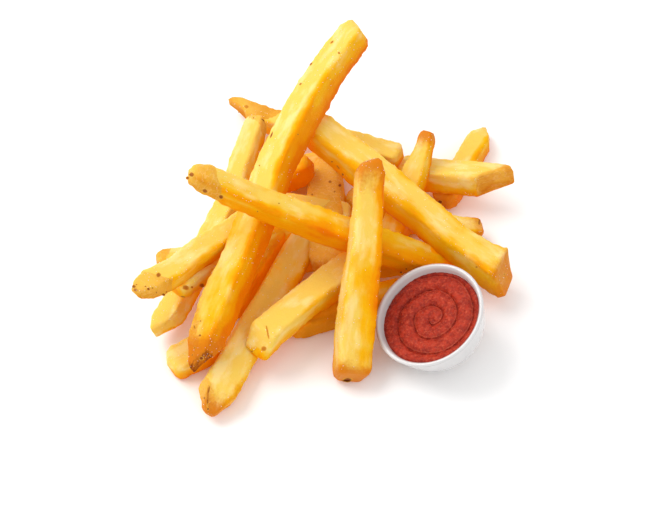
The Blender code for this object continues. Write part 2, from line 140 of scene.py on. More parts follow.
FRIES: dict[str, Fry] = {
    "long_leaning": Fry(
        Kind.TOP, End(361, 29, 53.7), End(200, 362, 18.5), 13.2, 12.0, 24,
        bend((0, -0.8, 0.86), (0.14, -4.4, 0.92), (0.28, -6.3, 1.0), (0.41, -6.6, 0.97),
             (0.7, -3.2, 0.95), (0.86, -2.3, 0.96), (1, 0, 0.8)),
        0.66, 0.5, 4, 8, head_slant=-2.2, tail_slant=-4.0,
        tone=0.13, skin=SkinEnd.TAIL, skin_length=-7, skin_lean=-22, skin_tan=0.35,
        head_toast=0.20, tail_toast=1.02, tail_tone=0.84, lean=0.33),
    "left_upright": Fry(
        Kind.SKIN, End(258, 119, 16.2), End(164, 330, 9.5), 10.0, 9.2, 20,
        bend((0, 0, 0.85), (0.16, 1.5, 0.92), (0.41, 3.4, 0.98), (1, -0.5, 1.02)),
        0.7, 0.7, 4, 5, tail_slant=-2.5,
        tone=-0.05, skin=SkinEnd.HEAD, skin_length=4.5, head_toast=0.2, tail_toast=0.2, tail_tone=-0.85),
    "front_upright": Fry(
        Kind.TOP, End(371, 160, 54.2), End(352, 378, 5.6), 13.0, 11.5, -16,
        bend((0, 0, 0.80), (0.18, 0.2, 0.84), (0.41, 0.4, 0.92), (0.65, -0.3, 1.06),
             (1, -0.3, 1.08)),
        0.6, 0.84, 5, 4, head_slant=1.0,
        tone=0.22, head_toast=0.92, tail_toast=0.72, tail_slope=1.7),
    "crossing": Fry(
        Kind.TOP, End(190, 173, 67.5), End(450, 270, 5.6), 11.6, 11.2, 8,
        bend((0, 0, 0.84), (0.23, -0.9, 0.86), (0.35, -1.3, 0.91), (0.58, -1.1, 0.97),
             (1, 0, 1.0)),
        0.6, 0.8, 6, 4,
        tone=-0.02, skin=SkinEnd.HEAD, skin_length=11, skin_lean=-3, head_toast=0.1,
        tail_tone=0.38, lean=0.30),
    "big_slanting": Fry(
        Kind.TOP, End(309, 124, 35.5), End(505, 276, 14.5), 13.2, 12.0, -6,
        bend((0, 0, 0.96), (0.4, -0.8, 1.0), (0.65, -1.4, 0.95), (0.8, -1.3, 0.96),
             (1, 0, 1.14)),
        0.8, 0.86, 5, 3, tail_slant=-1.6,
        tone=0.12, tail_toast=0.62, tail_slope=3.6, lean=-0.30),
    "left_skin_end": Fry(
        Kind.SKIN, End(136, 291, 38.5), End(264, 211, 21.2), 9.6, 9.4, 6,
        bend((0, 0, 0.92), (0.11, -1.0, 1.0), (0.26, -1.5, 1.0), (0.42, -0.9, 0.98),
             (1, 0, 1.0)),
        0.66, 0.8, 6, 4,
        tone=-0.10, skin=SkinEnd.HEAD, skin_length=11, skin_lean=-3.5, skin_tan=0.42, head_toast=0.2),
    "left_under": Fry(
        Kind.SKIN, End(175, 288, 24.5), End(228, 254, 15.5), 10.0, 9.6, 0, STRAIGHT, 0.72, 0.8, 4, 4,
        tone=-0.55, head_toast=0.1),
    "low_long": Fry(
        Kind.SKIN, End(209, 414, 5.8), End(318, 219, 6.3), 13.6, 12.2, 20,
        bend((0, 0, 1.0), (0.1, 1.3, 1.04), (0.2, 0.9, 1.0), (0.74, 0.7, 0.96),
             (1, 0, 0.96)),
        0.27, 0.8, 10, 4,
        tone=-0.60, skin=SkinEnd.HEAD, skin_length=5, skin_lean=6, head_toast=0.75,
        tail_tone=0.95, lean=0.34),
    "left_nub": Fry(
        Kind.LOW, End(157, 262, 3.3), End(222, 252, 3.3), 7.2, 7.6, 0, STRAIGHT, 0.7, 0.8, 3, 4,
        tone=0.3, skin=SkinEnd.HEAD, skin_length=3),
    "foot_left": Fry(
        Kind.LOW, End(171, 367, 4.8), End(216, 343, 4.8), 11.5, 10.5, 0, STRAIGHT, 0.75, 0.8, 3, 4,
        tone=-0.1, head_toast=0.1),
    "pale_cut_end": Fry(
        Kind.TOP, End(258, 344, 16), End(368, 259, 13.1), 12.4, 11.4, 0,
        bend((0, 0, 1.02), (0.15, 1.1, 0.98), (0.41, 1.9, 0.93), (0.67, 1.4, 1.0),
             (1, 0, 1.0)),
        0.94, 0.8, 1.5, 4,
        tone=-0.50, head_toast=-0.2, tail_tone=0.55, head_slope=2.4),
    "wide_skin_end": Fry(
        Kind.SKIN, End(327, 161, 6.5), End(328, 270, 9.2), 13.8, 12.0, 10,
        bend((0, 0, 0.8), (0.22, 0, 0.98), (0.36, 0, 1.06), (1, 0, 1.0)), 0.66, 0.8, 4, 4,
        tone=0.5, skin=SkinEnd.WHOLE, skin_tan=0.15, head_toast=0.2),
    "back_pointed": Fry(
        Kind.SKIN, End(237, 108, 6.9), End(400, 158, 19), 8.8, 8.8, 0,
        bend((0, 0, 0.95), (0.15, -1.0, 1.0), (1, 0, 1.0)), 0.55, 0.85, 5, 2, head_slant=5.0,
        tone=0.05, skin=SkinEnd.HEAD, skin_length=17, skin_tan=0.75, head_toast=0.4),
    "right_pointed": Fry(
        Kind.TOP, End(429, 132, 28.6), End(394, 238, 4.3), 10.4, 9.6, 12,
        bend((0, 0, 0.66), (0.17, 0.3, 0.66), (0.26, 0, 0.78), (0.4, -0.3, 0.95),
             (1, 0, 1.0)),
        0.7, 0.8, 3, 4,
        tone=0.24, head_toast=0.74),
    "small_nub": Fry(
        Kind.LOW, End(399, 166, 3.5), End(375, 198, 3.5), 8.0, 8.0, 0, STRAIGHT, 0.6, 0.8, 3, 4,
        tone=0.3),
    "right_level": Fry(
        Kind.SKIN, End(397, 172, 9.2), End(497, 181, 17.5), 11.6, 11.0, -12, STRAIGHT, 0.8, 0.84, 4, 3,
        tail_slant=6.0,
        tone=0.06, skin=SkinEnd.TAIL, skin_length=2.0, skin_lean=0, tail_toast=0.4, lean=0.42),
    "right_back": Fry(
        Kind.LOW, End(487, 132, 4.2), End(441, 204, 4.2), 9.8, 9.4, 10,
        bend((0, 0, 0.9), (0.3, -0.5, 1.0), (1, 0, 1.0)), 0.35, 0.7, 6, 4, head_slant=-1.5,
        tone=0.25, head_toast=0.4, tail_toast=0.8),
    "right_stub": Fry(
        Kind.LOW, End(480, 232, 4.2), End(424, 226, 14), 8.8, 9.0, 0, STRAIGHT, 0.8, 0.8, 2, 4,
        tone=0.25, head_toast=0.7),
    "low_level": Fry(
        Kind.LOW, End(290, 326, 5.6), End(409, 292, 4.5), 10.0, 10.0, 0, STRAIGHT, 0.8, 0.8, 4, 4,
        tone=0.75, skin=SkinEnd.HEAD, skin_length=22, skin_lean=0, skin_tan=0.9),
    "dark_sliver": Fry(
        Kind.LOW, End(335, 270, 3.8), End(416, 260, 3.8), 8.5, 8.5, 0, STRAIGHT, 0.8, 0.6, 4, 6,
        tone=0.8, skin=SkinEnd.WHOLE, skin_tan=0.9, head_toast=0.8, tail_toast=0.8),
    "low_slanting": Fry(
        Kind.LOW, End(300, 205, 4.8), End(230, 312, 4.8), 10.5, 10.5, 12, STRAIGHT, 0.8, 0.7, 4, 4,
        tone=0.75),
    "deep_stub": Fry(
        Kind.LOW, End(311, 166, 18.5), End(264, 183, 7.5), 11.5, 11.0, 0, STRAIGHT, 0.66, 0.8, 5, 4,
        tone=0.95, head_toast=0.1),
    "hidden_back": Fry(
        Kind.LOW, End(266, 178, 4.5), End(350, 158, 4.5), 10.0, 10.0, 14, STRAIGHT, 0.7, 0.7, 4, 4),
    "hidden_left": Fry(
        Kind.LOW, End(264, 204, 4.4), End(276, 140, 4.2), 9.0, 9.0, -10, STRAIGHT, 0.7, 0.7, 4, 4),
    "hidden_middle": Fry(
        Kind.LOW, End(262, 204, 9), End(350, 216, 9), 10.0, 10.0, 8, STRAIGHT, 0.7, 0.7, 4, 4),
    "hidden_right": Fry(
        Kind.LOW, End(346, 200, 4.5), End(424, 222, 4.5), 10.0, 10.0, -12, STRAIGHT, 0.7, 0.7, 4, 4),
}


@dataclass(frozen=True)
class Spot:
    """A brown eye or speck of skin.

    It has the point of the photograph where it shows, its half length and half width in
    millimetres, its turn in degrees and how dark it is, from 0 to 1.
    """
    across: float
    down: float
    half_length: float
    half_width: float
    turn: float = 0.0
    dark: float = 0.5


SPOTS: dict[str, tuple[Spot, ...]] = {fry: tuple(Spot(*row) for row in rows) for fry, rows in {
    "crossing": (
        (191.7, 174.5, 1.06, 1., 0, 0.7), (187.5, 178, 0.78, 0.69, 0, 0.6),
        (205, 191, 1.19, 0.88, -20, 0.7), (221, 197, 1.06, 0.88, -20, 0.8),
        (257.5, 211.5, 0.35, 0.31, 0, 0.4), (279, 203.3, 0.38, 0.28, 0, 0.4)),
    "left_skin_end": (
        (158.4, 275, 1.06, 0.94, 40, 0.6), (134, 286.5, 0.75, 0.65, 0, 0.6),
        (136.5, 284.6, 0.38, 0.28, 0, 0.4), (135.5, 290, 0.94, 0.75, 0, 0.4),
        (134, 295.5, 0.69, 0.53, -30, 0.9), (145.5, 286.4, 0.45, 0.28, 0, 0.7),
        (148.4, 289, 0.62, 0.62, 0, 0.95), (152.6, 288, 0.4, 0.31, 0, 0.7),
        (156.5, 292.5, 0.56, 0.2, -60, 0.6), (163.5, 294.6, 0.78, 0.53, -20, 0.7),
        (166.5, 292, 0.44, 0.33, 0, 0.6)),
    "left_under": (
        (185.6, 287.7, 1.44, 1., -10, 0.35), (201.7, 285.4, 1.06, 0.88, 0, 0.4),
        (192, 287.3, 0.56, 0.47, 0, 0.35), (182.8, 296.7, 1.06, 0.33, -8, 0.45)),
    "long_leaning": (
        (339, 53, 0.53, 0.53, 0, 0.4), (332, 42, 0.94, 0.4, 45, 0.35),
        (311, 64, 0.94, 0.38, 50, 0.3), (300.5, 84, 0.69, 0.44, 45, 0.3),
        (271.4, 135, 1.44, 0.38, 68, 0.75), (259.3, 165.5, 0.31, 0.31, 0, 0.5),
        (298, 134.4, 0.31, 0.28, 0, 0.5), (200, 335.4, 0.56, 0.53, 0, 0.7),
        (194.5, 327, 1.06, 0.35, -70, 0.5), (201.4, 358.3, 1., 0.85, 0, 1.0),
        (200.5, 321, 0.38, 0.31, 0, 0.5), (194.7, 347.8, 0.53, 0.38, 0, 0.5),
        (192.4, 355, 0.62, 0.28, 60, 0.6)),
    "left_upright": ((253.6, 117.8, 0.4, 0.35, 0, 0.35), (263, 120, 1.12, 0.31, -35, 0.6)),
    "front_upright": ((347.5, 380, 2.12, 0.94, 5, 0.85), (363, 165.4, 0.38, 0.31, 0, 0.3)),
    "pale_cut_end": (
        (263.8, 348.8, 1.1, 1.0, 0, 0.2), (267.6, 332.5, 2.7, 0.4, -78, 0.1),
        (252, 351.2, 0.6, 0.3, 0, 0.4)),
    "wide_skin_end": (
        (330, 181.8, 0.78, 0.65, 0, 0.5), (339.8, 185.3, 0.81, 0.72, 0, 0.7),
        (334.6, 191.6, 0.47, 0.43, 0, 0.5), (312.2, 194.5, 0.53, 0.43, 0, 0.6),
        (342.8, 174.6, 0.65, 0.43, -60, 0.6), (338, 167, 1.19, 0.3, -50, 0.6),
        (332, 161.8, 0.5, 0.33, 0, 0.5), (346.4, 184, 1.12, 0.25, -80, 0.5)),
    "back_pointed": ((246.3, 106.6, 1.19, 0.88, -10, 0.1), (239, 112, 0.4, 0.35, 0, 0.4)),
    "right_back": ((440, 202, 1.06, 0.94, 0, 1.0),),
    "right_stub": ((479.3, 222.5, 1.31, 0.62, 85, 0.6),),
    "big_slanting": (
        (512.6, 264.8, 1.31, 0.44, 65, 0.7), (504.5, 274.3, 0.62, 0.38, 30, 0.25),
        (476.6, 267, 0.5, 0.38, 0, 0.15), (499.5, 274.8, 0.4, 0.31, 0, 0.2)),
    "low_long": (
        (207.6, 396.5, 4.8, 0.6, 87, 0.25), (208.8, 390, 1.9, 0.35, 80, 0.7),
        (207.6, 401, 1.6, 0.35, 88, 0.7), (204.4, 398, 0.5, 0.4, 0, 0.7),
        (208, 409, 0.6, 0.5, 0, 0.8)),
    "dark_sliver": ((401, 272.4, 0.56, 0.45, 0, 0.9), (406.3, 269, 0.4, 0.33, 0, 0.9)),
    "left_nub": ((154.6, 263.4, 0.53, 0.45, 0, 0.4),),
}.items()}


@dataclass
class Sight:
    """The photograph's view: it places points and holds the camera."""
    frame_width: int = 650
    frame_height: int = 520
    elevation: float = math.radians(55.0)
    distance: float = 900 * MM
    point_size: float = 0.40 * MM
    target: Vector = field(default_factory=lambda: Vector((-1.6 * MM, -0.1 * MM, 0.0)))
    sensor: float = 36.0
    nearest: float = 10 * MM

    @property
    def towards_eye(self) -> Vector:
        """The direction from the heap to the eye."""
        return Vector((0.0, -math.cos(self.elevation), math.sin(self.elevation)))

    @property
    def up(self) -> Vector:
        """The upward direction of the picture."""
        return Vector((0.0, math.sin(self.elevation), math.cos(self.elevation)))

    @property
    def right(self) -> Vector:
        """The direction to the picture's right."""
        return Vector((1.0, 0.0, 0.0))

    @property
    def eye(self) -> Vector:
        """Where the eye is."""
        return self.target + self.towards_eye * self.distance

    def place(self, across: float, down: float, height: float) -> Vector:
        """Find the point at a height that shows at a point of the photograph.

        Args:
            across: points from the picture's left edge.
            down: points from its top edge.
            height: height above the table in metres.

        Returns:
            The place in metres.
        """
        right = (across - self.frame_width / 2) * self.point_size / self.distance
        rise = (self.frame_height / 2 - down) * self.point_size / self.distance
        ray = Vector((right, 0.0, 0.0)) + self.up * rise - self.towards_eye
        return self.eye + ray * ((height - self.eye.z) / ray.z)

    def build_camera(self) -> None:
        """Set up the camera at the photograph's viewing angle."""
        data = bpy.data.cameras.new("photo_view")
        data.sensor_fit = "HORIZONTAL"
        data.sensor_width = self.sensor
        data.lens = self.sensor * self.distance / self.point_size / self.frame_width
        data.clip_start = self.nearest
        camera = bpy.data.objects.new("photo_view", data)
        bpy.context.scene.collection.objects.link(camera)
        turn = Matrix((self.right, self.up, self.towards_eye)).transposed().to_4x4()
        camera.matrix_world = Matrix.Translation(self.eye) @ turn
        bpy.context.scene.camera = camera
        LOG.info("camera: %.0f mm lens, %.0f mm away", data.lens, self.distance / MM)


@dataclass
class Value:
    """A number that flows between shader nodes, with Python's operators."""
    bench: "NodeBench"
    socket: Any

    def _math(self, operation: str, first: Any, second: Any) -> "Value":
        """Add a Math node to the bench's tree."""
        return self.bench.value("ShaderNodeMath", {"operation": operation}, {0: first, 1: second})

    def __add__(self, other: Any) -> "Value":
        """Add."""
        return self._math("ADD", self, other)

    def __radd__(self, other: Any) -> "Value":
        """Add to a plain number."""
        return self._math("ADD", other, self)

    def __sub__(self, other: Any) -> "Value":
        """Subtract."""
        return self._math("SUBTRACT", self, other)

    def __rsub__(self, other: Any) -> "Value":
        """Subtract from a plain number."""
        return self._math("SUBTRACT", other, self)

    def __mul__(self, other: Any) -> "Value":
        """Multiply."""
        return self._math("MULTIPLY", self, other)

    def __rmul__(self, other: Any) -> "Value":
        """Multiply a plain number."""
        return self._math("MULTIPLY", other, self)

    def clamp(self) -> "Value":
        """Hold the value between 0 and 1."""
        return self.bench.value("ShaderNodeClamp", {}, {"Value": self})

    def step(self, low: float, high: float) -> "Value":
        """Rise smoothly from 0 at low to 1 at high."""
        return self.bench.value(
            "ShaderNodeMapRange", {"interpolation_type": "SMOOTHSTEP"},
            {"Value": self, "From Min": low, "From Max": high, "To Min": 0.0, "To Max": 1.0})


class NodeBench:
    """A material's node tree, and the one way in which nodes are added to it."""

    def __init__(self, name: str) -> None:
        """Start a material with a Principled shader.

        Args:
            name: the material's name.
        """
        self.material = bpy.data.materials.new(name)
        self.material.use_nodes = True
        self.tree = self.material.node_tree
        self.shader = self.tree.nodes["Principled BSDF"]

    def put(self, node: bpy.types.Node, socket: Any, item: Any) -> None:
        """Set or link one input of a node.

        Args:
            node: the node.
            socket: the input's name or number.
            item: a plain value or a Value.
        """
        target = node.inputs[socket]
        if isinstance(item, Value):
            self.tree.links.new(item.socket, target)
        else:
            target.default_value = item

    def value(self, kind: str, settings: dict[str, Any], inputs: dict[Any, Any], output: Any = 0) -> Value:
        """Add a node.

        Args:
            kind: the node's type.
            settings: its settings.
            inputs: values or links of its sockets.
            output: the name or number of the output that is wanted.

        Returns:
            That output.
        """
        made = self.tree.nodes.new(kind)
        for key, setting in settings.items():
            setattr(made, key, setting)
        for socket, item in inputs.items():
            self.put(made, socket, item)
        return Value(self, made.outputs[output])

    def where(self) -> Value:
        """Read the object's own coordinates."""
        return self.value("ShaderNodeTexCoord", {}, {}, "Object")

    def attribute(self, name: str, output: str = "Fac") -> Value:
        """Read a mesh attribute."""
        return self.value("ShaderNodeAttribute", {"attribute_name": name}, {}, output)

    def stretch(self, vector: Value, scale: Sequence[float]) -> Value:
        """Scale a vector along each axis."""
        return self.value("ShaderNodeVectorMath", {"operation": "MULTIPLY"}, {0: vector, 1: tuple(scale)})

    def grain(self, vector: Value, scale: float, detail: float = 3.0, roughness: float = 0.55) -> Value:
        """Add smooth noise over a vector field."""
        return self.value(
            "ShaderNodeTexNoise", {},
            {"Vector": vector, "Scale": scale, "Detail": detail, "Roughness": roughness})

    def blend(self, factor: Any, first: Any, second: Any) -> Value:
        """Mix two colours: a factor of 0 gives the first, 1 the second."""
        return self.value(
            "ShaderNodeMix", {"data_type": "RGBA"}, {0: factor, 6: first, 7: second}, 2)

    def bump(self, height: Value, depth: float, strength: float = 1.0) -> Value:
        """Make a normal from a relief and its depth in metres."""
        return self.value("ShaderNodeBump", {}, {"Strength": strength, "Distance": depth, "Height": height})

    def dress(self, inputs: dict[str, Any]) -> bpy.types.Material:
        """Set or link the shader's inputs.

        Args:
            inputs: values or links of its sockets.

        Returns:
            The finished material.
        """
        for socket, item in inputs.items():
            self.put(self.shader, socket, item)
        return self.material


@dataclass(frozen=True)
class FriedPotato:
    """Fried potato: its own tone from pale to golden and orange, brown at the ends; painted shade deepens
    faces turned from the light and crevices to orange, with a painted glow in crevices, and cream patches
    show only on lit faces.
    """
    # cream: a paler crust shown only on lit faces, partly painted light
    cream: Colour = (0.90, 0.72, 0.33, 1.0)
    pale: Colour = (0.84, 0.565, 0.10, 1.0)
    golden: Colour = (0.84, 0.43, 0.004, 1.0)
    # orange and deep also carry painted shade, on faces turned from the light and in crevices
    orange: Colour = (0.82, 0.30, 0.0, 1.0)
    deep: Colour = (0.76, 0.175, 0.0, 1.0)
    toast: Colour = (0.62, 0.17, 0.006, 1.0)
    char: Colour = (0.17, 0.03, 0.005, 1.0)
    # A painted glow in crevices, though nothing there gives light
    painted_glow: Colour = (0.14, 0.042, 0.0, 1.0)
    no_painted_glow: Colour = (0.0, 0.0, 0.0, 1.0)
    skin_light: Colour = (0.94, 0.66, 0.28, 1.0)
    skin: Colour = (0.82, 0.45, 0.06, 1.0)
    skin_dark: Colour = (0.60, 0.22, 0.004, 1.0)
    shine_tint: Colour = (1.0, 0.80, 0.42, 1.0)
    shine: float = 0.08
    scatter: float = 0.35
    scatter_radius: tuple[float, float, float] = (1.0, 0.5, 0.08)
    scatter_depth: float = 2.6 * MM
    cream_strength: float = 0.6
    # Painted shade: deeper orange in crevices
    crevice_shade_warmth: float = 0.75
    fold_sharpness: float = 900.0
    cover: float = 0.9
    relief: float = 0.42 * MM
    relief_strength: float = 0.9

    def flesh(self, bench: NodeBench, place: Value, warmth_and_painted_shade: Value) -> Value:
        """Colour the cut faces.

        Args:
            bench: the material's nodes.
            place: the point's place on the fry, in millimetres along, across and up.
            warmth_and_painted_shade: the fry's tone with painted shade added, 0 where pale, above 1 where
                deep orange.

        Returns:
            The colour.
        """
        found = bench.blend(warmth_and_painted_shade.step(0.0, 0.5), self.pale, self.golden)
        found = bench.blend(warmth_and_painted_shade.step(0.4, 1.0), found, self.orange)
        found = bench.blend(warmth_and_painted_shade.step(1.0, 1.6), found, self.deep)
        # Cream patches only where the face is pale and lit: painted light
        patch = bench.grain(bench.stretch(place, (0.08, 0.20, 0.20)), 1.0, 4.0).step(0.47, 0.66)
        pale_and_lit = (0.95 - warmth_and_painted_shade * 1.2).clamp()
        return bench.blend(patch * pale_and_lit * self.cream_strength, found, self.cream)

    def build(self) -> bpy.types.Material:
        """Make the material.

        Returns:
            The material.
        """
        bench = NodeBench("fried_potato")
        place = bench.attribute("place", "Vector")
        toast, skin, tan = (bench.attribute(name) for name in ("toast", "skin", "tan"))
        sweep = bench.grain(bench.stretch(place, (0.035, 0.11, 0.11)), 1.0, 2.0) - 0.5
        broad = bench.grain(place, 0.11, 3.0) - 0.5
        fibre = bench.grain(bench.stretch(place, (0.10, 0.75, 0.75)), 0.8, 4.0)
        fine = bench.grain(place, 0.9, 4.0, 0.65)
        speckle = bench.grain(place, 1.9, 3.0, 0.7)
        crumb = fine - 0.5
        # Crevice shade: painted shade, deeper orange, and a painted glow where the fry lies deep between
        # others
        crevice_shade = bench.attribute("crevice_shade").step(0.45, 1.0)
        warmth_and_painted_shade = bench.attribute("warmth_and_painted_shade") + sweep * 1.8 + broad * 1.1 + (fibre - 0.5) * 0.35
        warmth_and_painted_shade = warmth_and_painted_shade + crevice_shade * self.crevice_shade_warmth
        # The skin darkens with warmth, so with painted shade too
        mottle = tan + crumb * 0.4 + broad * 1.3 + (warmth_and_painted_shade - 0.4) * 0.3
        hide = bench.blend(mottle.clamp(), self.skin, self.skin_dark)
        crinkle = bench.grain(bench.stretch(place, (0.45, 0.28, 0.28)), 1.0, 2.0, 0.5) - 0.5
        fold = (1 - (crinkle * crinkle * self.fold_sharpness).clamp()) * (1 - tan)
        hide = bench.blend(fold * 0.35, hide, self.skin_light)
        hidden = (skin + crumb * 0.35).step(0.42, 0.6)
        body = bench.blend(hidden * self.cover, self.flesh(bench, place, warmth_and_painted_shade), hide)
        browned = (toast + crumb * 0.5 + broad * 0.5).step(0.22, 0.85)
        body = bench.blend(browned * self.cover, body, self.toast)
        charred = (toast + crumb * 0.7).step(1.12, 1.4)
        height = fine * 0.6 + fibre * 0.35 + speckle * 0.3 + fold * hidden * 0.35
        return bench.dress({
            "Base Color": bench.blend(charred, body, self.char),
            "Roughness": (0.30 + 0.30 * fine + 0.18 * hidden).clamp(),
            "Subsurface Weight": self.scatter,
            "Subsurface Radius": self.scatter_radius,
            "Subsurface Scale": self.scatter_depth,
            "Specular IOR Level": self.shine,
            "Specular Tint": self.shine_tint,
            # Painted glow in crevices
            "Emission Color": bench.blend(crevice_shade, self.no_painted_glow, self.painted_glow),
            "Emission Strength": 1.0,
            "Normal": bench.bump(height, self.relief, self.relief_strength)})


@dataclass(frozen=True)
class Knot:
    """The brown eyes and specks of the potato's skin."""
    colour: Colour = (0.24, 0.05, 0.004, 1.0)
    tan: Colour = (0.60, 0.22, 0.018, 1.0)
    edge: Colour = (0.78, 0.38, 0.04, 1.0)
    shine: float = 0.12
    relief: float = 0.1 * MM

    def build(self) -> bpy.types.Material:
        """Make the material.

        Returns:
            The material.
        """
        bench = NodeBench("skin_eye")
        mottle = bench.grain(bench.where(), 1400.0, 3.0)
        depth = (bench.attribute("dark") * 1.15 + (mottle - 0.5) * 0.7).clamp()
        inside = bench.blend(depth, self.tan, self.colour)
        rim = (bench.attribute("rim") + (mottle - 0.5) * 0.35).step(0.5, 1.0)
        return bench.dress({
            "Base Color": bench.blend(rim, inside, self.edge),
            "Roughness": (0.45 + mottle * 0.3).clamp(),
            "Specular IOR Level": self.shine,
            "Normal": bench.bump(mottle, self.relief)})


@dataclass(frozen=True)
class Salt:
    """Fine white salt."""
    colour: Colour = (0.95, 0.95, 0.93, 1.0)
    shade: Colour = (0.82, 0.82, 0.80, 1.0)

    def build(self) -> bpy.types.Material:
        """Make the material.

        Returns:
            The material.
        """
        bench = NodeBench("salt")
        cloud = bench.grain(bench.where(), 1800.0, 2.0)
        return bench.dress({
            "Base Color": bench.blend(cloud, self.colour, self.shade),
            "Roughness": (0.2 + cloud * 0.3).clamp()})


@dataclass(frozen=True)
class Glaze:
    """White glazed ware, coloured light grey as painted shade of its walls: clean, glossy, very slightly
    wavy.
    """
    # Grey rather than white: painted shade for the pot's walls
    colour: Colour = (0.64, 0.63, 0.63, 1.0)
    warm: Colour = (0.60, 0.58, 0.575, 1.0)
    coat: float = 0.4
    coat_roughness: float = 0.06
    relief: float = 0.05 * MM
    relief_strength: float = 0.4

    def build(self) -> bpy.types.Material:
        """Make the material.

        Returns:
            The material.
        """
        bench = NodeBench("white_glaze")
        cloud = bench.grain(bench.where(), 60.0, 2.0)
        wave = bench.grain(bench.where(), 180.0, 1.0)
        return bench.dress({
            "Base Color": bench.blend(cloud, self.colour, self.warm),
            "Roughness": (0.12 + cloud * 0.12).clamp(),
            "Coat Weight": self.coat,
            "Coat Roughness": self.coat_roughness,
            "Normal": bench.bump(wave, self.relief, self.relief_strength)})


@dataclass(frozen=True)
class TomatoDip:
    """Thick tomato dip: deep red, paler where its grain catches the light."""
    deep: Colour = (0.21, 0.005, 0.001, 1.0)
    bright: Colour = (0.48, 0.034, 0.011, 1.0)
    light: Colour = (0.64, 0.105, 0.045, 1.0)
    # lip: a painted highlight, the thin pale line along the swirl's lip
    lip: Colour = (0.72, 0.27, 0.16, 1.0)
    shine: float = 0.25
    scatter: float = 0.1
    scatter_radius: tuple[float, float, float] = (0.8, 0.2, 0.1)
    scatter_depth: float = 1.0 * MM
    relief: float = 0.9 * MM

    def build(self) -> bpy.types.Material:
        """Make the material.

        Returns:
            The material.
        """
        bench = NodeBench("tomato_dip")
        crest = bench.attribute("crest")
        pulp = bench.grain(bench.where(), 1100.0, 4.0, 0.75)
        mottle = bench.grain(bench.where(), 420.0, 3.0)
        # Painted light and shade: brighter red and more pale grain on the swirl's ridges, deep red in its
        # grooves
        ridge = crest.clamp()
        red = bench.blend((mottle.step(0.35, 0.65) * 0.6 + ridge * 0.4).clamp(), self.deep, self.bright)
        red = bench.blend((pulp.step(0.5, 0.68) * (0.3 + 0.6 * ridge)).clamp(), red, self.light)
        return bench.dress({
            # Painted highlight: a thin paler line along the swirl's lip
            "Base Color": bench.blend(crest.step(1.1, 1.7) * 0.5, red, self.lip),
            "Roughness": (0.34 + (pulp - 0.5) * 0.5).clamp(),
            "Specular IOR Level": self.shine,
            "Subsurface Weight": self.scatter,
            "Subsurface Radius": self.scatter_radius,
            "Subsurface Scale": self.scatter_depth,
            "Normal": bench.bump(pulp * 0.6 + mottle * 0.4, self.relief)})


@dataclass(frozen=True)
class PaleGround:
    """The plain pale floor."""
    colour: Colour = (0.98, 0.98, 0.98, 1.0)
    roughness: float = 0.9

    def build(self) -> bpy.types.Material:
        """Make the material."""
        return NodeBench("pale_ground").dress({"Base Color": self.colour, "Roughness": self.roughness})


def grid_faces(rows: int, around: int) -> list[Face]:
    """Face the strips between rings that have the same number of points.

    Args:
        rows: the number of rings.
        around: the points of each ring.

    Returns:
        The faces, by the numbers of their points.
    """
    return [(row * around + step, row * around + (step + 1) % around,
             (row + 1) * around + (step + 1) % around, (row + 1) * around + step)
            for row in range(rows - 1) for step in range(around)]


class Mesh:
    """Points, faces and point attributes that grow into one object."""

    def __init__(self) -> None:
        """Start empty."""
        self.points: list[Vector] = []
        self.faces: list[Face] = []
        self.numbers: dict[str, list[float]] = {}
        self.vectors: dict[str, list[Vector]] = {}

    def add(self, points: Iterable[Vector], faces: Iterable[Sequence[int]],
            numbers: dict[str, list[float]] | None = None,
            vectors: dict[str, list[Vector]] | None = None) -> None:
        """Add one shape.

        Args:
            points: its points.
            faces: its faces, by the numbers of its points.
            numbers: a number for each point, by attribute.
            vectors: a vector for each point, by attribute.
        """
        base = len(self.points)
        self.points.extend(points)
        self.faces.extend(tuple(base + index for index in face) for face in faces)
        for name, items in (numbers or {}).items():
            self.numbers.setdefault(name, []).extend(items)
        for name, items in (vectors or {}).items():
            self.vectors.setdefault(name, []).extend(items)

    def build(self, name: str, finish: bpy.types.Material) -> bpy.types.Object:
        """Make the object.

        Args:
            name: its name.
            finish: its material.

        Returns:
            The object, smooth shaded.
        """
        data = bpy.data.meshes.new(name)
        data.from_pydata([tuple(point) for point in self.points], [], self.faces)
        for key, items in self.numbers.items():
            data.attributes.new(key, "FLOAT", "POINT").data.foreach_set("value", items)
        for key, items in self.vectors.items():
            flat = [part for item in items for part in item]
            data.attributes.new(key, "FLOAT_VECTOR", "POINT").data.foreach_set("vector", flat)
        data.materials.append(finish)
        data.shade_smooth()
        made = bpy.data.objects.new(name, data)
        bpy.context.scene.collection.objects.link(made)
        return made


def smooth(low: float, high: float, item: float) -> float:
    """Rise smoothly from 0 at low to 1 at high."""
    share = min(max((item - low) / (high - low), 0.0), 1.0)
    return share * share * (3 - 2 * share)


